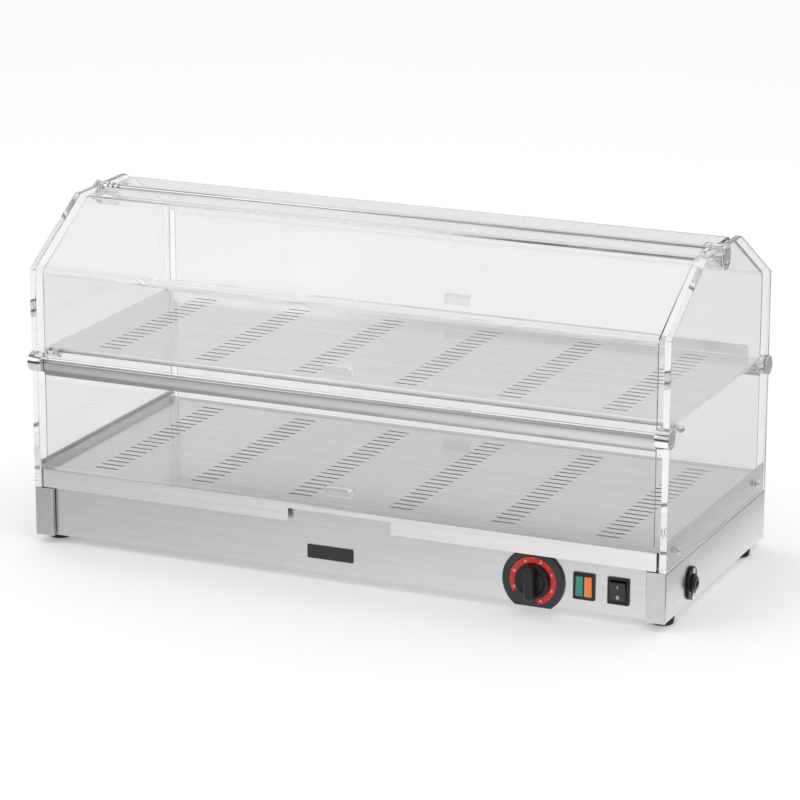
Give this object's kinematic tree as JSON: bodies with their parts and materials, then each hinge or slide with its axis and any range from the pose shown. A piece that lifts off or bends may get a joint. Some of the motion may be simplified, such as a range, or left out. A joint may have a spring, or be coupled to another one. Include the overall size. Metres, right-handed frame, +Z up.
{
  "type": "hot food display case",
  "caption": "Counter-top heated display case: folded stainless base with perforated deck, upper shelf, clear acrylic hood sides and four lift-up clear flaps, dial thermostat and rocker switch.",
  "frame": {"origin": "on the table surface, under the middle of the steel base", "axes": "+X along the case to the right as seen by the customer, -Y towards the customer and the controls, +Z up"},
  "size_m": [0.8238, 0.3738, 0.4137],
  "materials": {
    "case_steel": "fine horizontal brushed stainless",
    "deck_steel": "bright satin stainless, half mirror",
    "bright_chrome": "polished chrome",
    "clear_acrylic": "clear polished acrylic sheet",
    "black_plastic": "satin moulded black",
    "green_lens": "ribbed translucent lens",
    "amber_lens": "ribbed translucent lens",
    "foot_rubber": "matt black",
    "control_body": "plain moulded",
    "element_metal": "heat darkened sheath",
    "dial_red": "printed scale ring",
    "mark_white": "printed marks"
  },
  "bodies": {
    "case": {"base_side_left": "case_steel", "hood_side_left": "clear_acrylic", "top_clamp_left": "bright_chrome", "element_bracket_left": "case_steel", "foot_front_left": "foot_rubber", "shelf_pin_front_left": "bright_chrome", "hood_screw_front_left": "bright_chrome", "rod_barrel_front_left": "bright_chrome", "foot_rear_left": "foot_rubber", "shelf_pin_rear_left": "bright_chrome", "hood_screw_rear_left": "bright_chrome", "rod_barrel_rear_left": "bright_chrome", "base_side_right": "case_steel", "hood_side_right": "clear_acrylic", "top_clamp_right": "bright_chrome", "element_bracket_right": "case_steel", "foot_front_right": "foot_rubber", "shelf_pin_front_right": "bright_chrome", "hood_screw_front_right": "bright_chrome", "rod_barrel_front_right": "bright_chrome", "foot_rear_right": "foot_rubber", "shelf_pin_rear_right": "bright_chrome", "hood_screw_rear_right": "bright_chrome", "rod_barrel_rear_right": "bright_chrome", "front_panel": "case_steel", "rear_panel": "case_steel", "base_plate": "case_steel", "heated_deck": "deck_steel", "display_shelf": "deck_steel", "top_rod": "bright_chrome", "tie_rod": "bright_chrome", "mid_rod_front": "bright_chrome", "mid_rod_rear": "bright_chrome", "thermostat_bulb": "bright_chrome", "thermostat_bezel": "black_plastic", "lamp_frame": "black_plastic", "rocker_frame": "black_plastic", "name_plate": "black_plastic", "cord_gland": "black_plastic", "lamp_lens_green": "green_lens", "lamp_lens_amber": "amber_lens", "thermostat": "control_body", "terminal_block": "control_body", "heating_element": "element_metal"},
    "upper_flap_front": {"upper_flap_front": "clear_acrylic", "upper_handle_front": "clear_acrylic", "flap_knuckle_front_left": "bright_chrome", "flap_knuckle_front_right": "bright_chrome"},
    "upper_flap_rear": {"upper_flap_rear": "clear_acrylic", "upper_handle_rear": "clear_acrylic", "flap_knuckle_rear_left": "bright_chrome", "flap_knuckle_rear_right": "bright_chrome"},
    "lower_flap_front": {"lower_flap_front": "clear_acrylic", "lower_handle_front": "clear_acrylic", "hinge_strip_front": "case_steel"},
    "lower_flap_rear": {"lower_flap_rear": "clear_acrylic", "lower_handle_rear": "clear_acrylic", "hinge_strip_rear": "case_steel"},
    "dial_knob": {"thermostat_knob": "black_plastic"},
    "power_rocker": {"rocker_button": "black_plastic"}
  },
  "joints": [
    {"name": "upper_front_flap_lift", "type": "hinge", "parent": "case", "child": "upper_flap_front", "pos_m": [0, 0, 0.4077], "axis": [-1, 0, 0], "range_deg": [0, 85]},
    {"name": "upper_rear_flap_lift", "type": "hinge", "parent": "case", "child": "upper_flap_rear", "pos_m": [0, 0, 0.4077], "axis": [1, 0, 0], "range_deg": [0, 85]},
    {"name": "lower_front_flap_lift", "type": "hinge", "parent": "case", "child": "lower_flap_front", "pos_m": [0, -0.172, 0.227], "axis": [-1, 0, 0], "range_deg": [0, 85]},
    {"name": "lower_rear_flap_lift", "type": "hinge", "parent": "case", "child": "lower_flap_rear", "pos_m": [0, 0.172, 0.227], "axis": [1, 0, 0], "range_deg": [0, 85]},
    {"name": "thermostat_turn", "type": "hinge", "parent": "case", "child": "dial_knob", "pos_m": [0.2424, -0.175, 0.0385], "axis": [0, 1, 0], "range_deg": [-120, 165]},
    {"name": "power_rocker_tilt", "type": "hinge", "parent": "case", "child": "power_rocker", "pos_m": [0.3459, -0.1698, 0.0399], "axis": [-1, 0, 0], "range_deg": [0, 16]}
  ]
}
